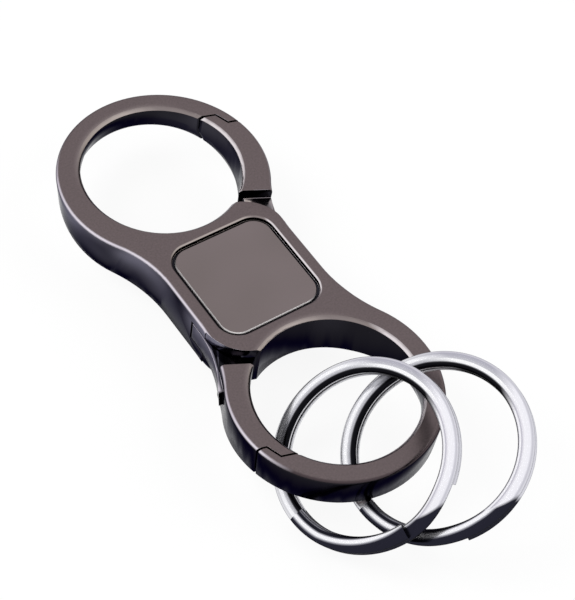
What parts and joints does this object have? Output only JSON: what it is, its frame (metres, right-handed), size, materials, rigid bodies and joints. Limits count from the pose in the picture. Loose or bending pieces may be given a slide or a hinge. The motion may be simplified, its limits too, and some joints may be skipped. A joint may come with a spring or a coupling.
{
  "type": "key organiser",
  "caption": "Double-ended metal key clip with a sprung gate on each round loop, an inlaid front plate and thin split rings for keys.",
  "frame": {"origin": "centre of the flat back face of the waist, midway between the two loops", "axes": "+Z out of the front face, +Y along the clip towards the upper loop, +X towards the side that the upper gate closes"},
  "size_m": [0.0361, 0.0923, 0.0187],
  "materials": {
    "gunmetal": "zinc die casting plated gunmetal, satin front, polished edges",
    "gunmetal_gate": "zinc die casting plated gunmetal, satin front, polished edges",
    "plate_grey": "smooth warm grey coat, satin",
    "adhesive": "thin black adhesive film",
    "pin_steel": "bright drawn steel pin",
    "spring_steel": "bright spring wire",
    "ring_nickel": "bright nickel plate"
  },
  "bodies": {
    "clip": {"clip_casting": "gunmetal", "front_plate": "plate_grey", "plate_adhesive": "adhesive", "upper_gate_pin": "pin_steel", "lower_gate_pin": "pin_steel", "upper_gate_spring": "spring_steel", "lower_gate_spring": "spring_steel"},
    "upper_gate_body": {"upper_gate": "gunmetal_gate"},
    "lower_gate_body": {"lower_gate": "gunmetal_gate"},
    "first_ring": {"first_split_ring": "ring_nickel"},
    "second_ring": {"second_split_ring": "ring_nickel"}
  },
  "joints": [
    {"name": "upper_gate_swing", "type": "hinge", "parent": "clip", "child": "upper_gate_body", "pos_m": [0.009, 0.0042, 0.0039], "axis": [0, 0, 1], "range_deg": [0, 12], "stiffness_Nm_per_rad": 0.02, "springref_deg": -28.65, "deforming": ["upper_gate_spring"]},
    {"name": "lower_gate_swing", "type": "hinge", "parent": "clip", "child": "lower_gate_body", "pos_m": [-0.009, -0.0042, 0.0039], "axis": [0, 0, 1], "range_deg": [0, 12], "stiffness_Nm_per_rad": 0.02, "springref_deg": -28.65, "deforming": ["lower_gate_spring"]},
    {"name": "first_ring_swing", "type": "hinge", "parent": "clip", "child": "first_ring", "pos_m": [-0.004, -0.0355, 0.0028], "axis": [0.936, 0.3485, -0.0498], "range_deg": [-60, 0]},
    {"name": "second_ring_swing", "type": "hinge", "parent": "clip", "child": "second_ring", "pos_m": [0.0115, -0.0291, 0.0087], "axis": [-0.7302, 0.6502, -0.2101], "range_deg": [-40, 0]}
  ]
}
